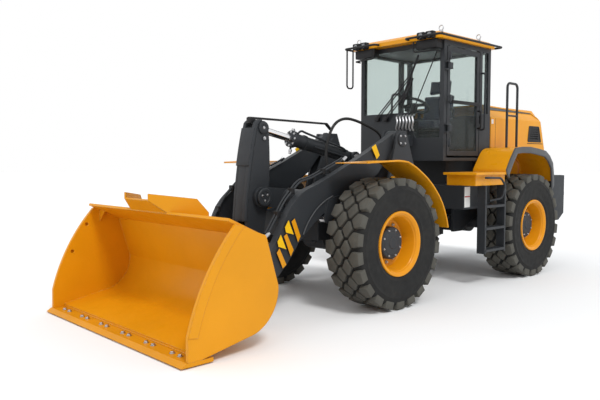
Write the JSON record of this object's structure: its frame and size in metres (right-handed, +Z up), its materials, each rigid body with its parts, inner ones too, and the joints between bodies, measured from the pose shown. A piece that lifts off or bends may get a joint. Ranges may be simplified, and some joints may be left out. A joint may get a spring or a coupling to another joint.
{
  "type": "wheel loader",
  "caption": "Articulated wheel loader with a Z-bar lift arm, a wide bucket, an enclosed cab, a tilting engine hood and block-tread tyres on dished rims.",
  "frame": {"origin": "on the ground under the centre of the machine's bounding box, with the bucket lowered", "axes": "+Y back along the machine, so it faces -Y; +X to the machine's left; +Z up"},
  "size_m": [2.5, 7, 3.11],
  "materials": {
    "yellow_paint": "gloss paint",
    "dark_paint": "satin paint",
    "bucket_paint": "gloss paint",
    "rim_paint": "gloss paint",
    "tyre_rubber": "matt rubber",
    "hose_rubber": "satin rubber",
    "rod_chrome": "polished",
    "pin_steel": "machined",
    "edge_steel": "worn paint",
    "hood_shell": "gloss moulded shell",
    "trim_plastic": "matt",
    "cast_dark": "painted casting",
    "glass": "tinted",
    "seat_fabric": "woven"
  },
  "bodies": {
    "rear_frame": {"rear_frame": "dark_paint", "steer_brackets": "dark_paint", "counterweight": "cast_dark", "rear_axle": "cast_dark", "engine_block": "cast_dark", "transmission": "cast_dark", "rear_fenders": "yellow_paint", "fender_stays": "dark_paint", "platforms": "yellow_paint", "side_boxes": "dark_paint", "ladders": "dark_paint", "cab_mounts": "dark_paint", "cab_tub": "dark_paint", "cab_frame": "dark_paint", "cab_glass": "glass", "cab_roof": "yellow_paint", "roof_guards": "trim_plastic", "seat": "seat_fabric", "console": "trim_plastic", "handrails": "dark_paint", "lamps": "trim_plastic"},
    "front_frame": {"front_frame": "dark_paint", "front_axle": "cast_dark", "front_fenders": "yellow_paint", "tilt_pin": "pin_steel", "hose_loop": "hose_rubber"},
    "boom": {"boom_arms": "dark_paint", "boom_tube": "dark_paint", "rocker_pin": "pin_steel"},
    "bucket": {"bucket_shell": "bucket_paint", "cutting_edge": "edge_steel", "bucket_ears": "bucket_paint", "bucket_pins": "pin_steel", "link_pin": "pin_steel"},
    "rocker": {"rocker": "dark_paint"},
    "link": {"link": "dark_paint"},
    "tilt_barrel": {"tilt_barrel": "dark_paint"},
    "tilt_piston": {"tilt_piston": "pin_steel"},
    "tilt_rod": {"tilt_rod": "rod_chrome"},
    "lift_barrels": {"lift_barrels": "dark_paint"},
    "lift_rods": {"lift_rods": "rod_chrome"},
    "steer_barrel_left": {"steer_barrel_left": "dark_paint"},
    "steer_rod_left": {"steer_rod_left": "rod_chrome"},
    "steer_barrel_right": {"steer_barrel_right": "dark_paint"},
    "steer_rod_right": {"steer_rod_right": "rod_chrome"},
    "cab_door": {"cab_door": "dark_paint", "door_glass": "glass"},
    "engine_hood": {"engine_hood": "hood_shell", "rear_grille": "trim_plastic", "side_vents": "trim_plastic"},
    "wheel_front_left": {"tyre_front_left": "tyre_rubber", "rim_front_left": "rim_paint"},
    "wheel_front_right": {"tyre_front_right": "tyre_rubber", "rim_front_right": "rim_paint"},
    "wheel_rear_left": {"tyre_rear_left": "tyre_rubber", "rim_rear_left": "rim_paint"},
    "wheel_rear_right": {"tyre_rear_right": "tyre_rubber", "rim_rear_right": "rim_paint"}
  },
  "joints": [
    {"name": "articulation", "type": "hinge", "parent": "rear_frame", "child": "front_frame", "pos_m": [0, 0.65, 0.77], "axis": [0, 0, 1], "range_deg": [-35, 35]},
    {"name": "boom_lift", "type": "hinge", "parent": "front_frame", "child": "boom", "pos_m": [0, -0.15, 1.78], "axis": [-1, 0, 0], "range_deg": [0, 80]},
    {"name": "bucket_tilt", "type": "hinge", "parent": "boom", "child": "bucket", "pos_m": [0, -2.36, 0.33], "axis": [1, 0, 0], "range_deg": [-45, 125]},
    {"name": "rocker_swing", "type": "hinge", "parent": "boom", "child": "rocker", "pos_m": [0, -1.79, 1.165], "axis": [-1, 0, 0], "range_deg": [-9.78, 25.38]},
    {"name": "link_swing", "type": "hinge", "parent": "bucket", "child": "link", "pos_m": [0, -2.38, 0.59], "axis": [-1, 0, 0], "range_deg": [-32.05, 87.25]},
    {"name": "tilt_swing", "type": "hinge", "parent": "front_frame", "child": "tilt_barrel", "pos_m": [0, -0.3, 1.58], "axis": [-1, 0, 0], "range_deg": [-1, 79]},
    {"name": "tilt_slide", "type": "slide", "parent": "tilt_barrel", "child": "tilt_piston", "axis": [0, -0.9793, 0.2026], "range_m": [-0.31, 0.12]},
    {"name": "tilt_reach", "type": "slide", "parent": "tilt_piston", "child": "tilt_rod", "axis": [0, -0.9793, 0.2026], "range_m": [-0.005, 0.32]},
    {"name": "lift_swing", "type": "hinge", "parent": "front_frame", "child": "lift_barrels", "pos_m": [0, 0.05, 0.7], "axis": [-1, 0, 0], "range_deg": [-1, 51]},
    {"name": "lift_slide", "type": "slide", "parent": "lift_barrels", "child": "lift_rods", "axis": [0, -0.9833, 0.1821], "range_m": [-0.01, 1.085]},
    {"name": "steer_swing_left", "type": "hinge", "parent": "rear_frame", "child": "steer_barrel_left", "pos_m": [0.33, 1.29, 0.78], "axis": [0, 0, 1], "range_deg": [-7, 7]},
    {"name": "steer_slide_left", "type": "slide", "parent": "steer_barrel_left", "child": "steer_rod_left", "axis": [-0.0375, -0.9993, 0], "range_m": [-0.19, 0.19]},
    {"name": "steer_swing_right", "type": "hinge", "parent": "rear_frame", "child": "steer_barrel_right", "pos_m": [-0.33, 1.29, 0.78], "axis": [0, 0, 1], "range_deg": [-7, 7]},
    {"name": "steer_slide_right", "type": "slide", "parent": "steer_barrel_right", "child": "steer_rod_right", "axis": [0.0375, -0.9993, 0], "range_m": [-0.19, 0.19]},
    {"name": "cab_door", "type": "hinge", "parent": "rear_frame", "child": "cab_door", "pos_m": [0.697, 0.717, 2.3], "axis": [0, 0, -1], "range_deg": [0, 85]},
    {"name": "engine_hood", "type": "hinge", "parent": "rear_frame", "child": "engine_hood", "pos_m": [0, 3.355, 1.357], "axis": [-1, 0, 0], "range_deg": [0, 48]},
    {"name": "wheel_front_left", "type": "hinge", "parent": "front_frame", "child": "wheel_front_left", "pos_m": [0.94, -0.785, 0.6839], "axis": [1, 0, 0], "continuous": true},
    {"name": "wheel_front_right", "type": "hinge", "parent": "front_frame", "child": "wheel_front_right", "pos_m": [-0.94, -0.785, 0.6839], "axis": [1, 0, 0], "continuous": true},
    {"name": "wheel_rear_left", "type": "hinge", "parent": "rear_frame", "child": "wheel_rear_left", "pos_m": [0.94, 2.085, 0.6839], "axis": [1, 0, 0], "continuous": true},
    {"name": "wheel_rear_right", "type": "hinge", "parent": "rear_frame", "child": "wheel_rear_right", "pos_m": [-0.94, 2.085, 0.6839], "axis": [1, 0, 0], "continuous": true}
  ],
  "couplings": [
    {"joint": "rocker_swing", "follows": "bucket_tilt", "ratio": 0.195},
    {"joint": "link_swing", "follows": "bucket_tilt", "ratio": 0.69},
    {"joint": "tilt_swing", "follows": "boom_lift", "ratio": 0.9673},
    {"joint": "tilt_slide", "follows": "bucket_tilt", "m_per_rad": -0.138},
    {"joint": "tilt_reach", "follows": "boom_lift", "m_per_rad": 0.2243},
    {"joint": "lift_swing", "follows": "boom_lift", "ratio": 0.615},
    {"joint": "lift_slide", "follows": "boom_lift", "m_per_rad": 0.77},
    {"joint": "steer_swing_left", "follows": "articulation", "ratio": 0.1928},
    {"joint": "steer_slide_left", "follows": "articulation", "m_per_rad": -0.2989},
    {"joint": "steer_swing_right", "follows": "articulation", "ratio": 0.1928},
    {"joint": "steer_slide_right", "follows": "articulation", "m_per_rad": 0.2989}
  ]
}
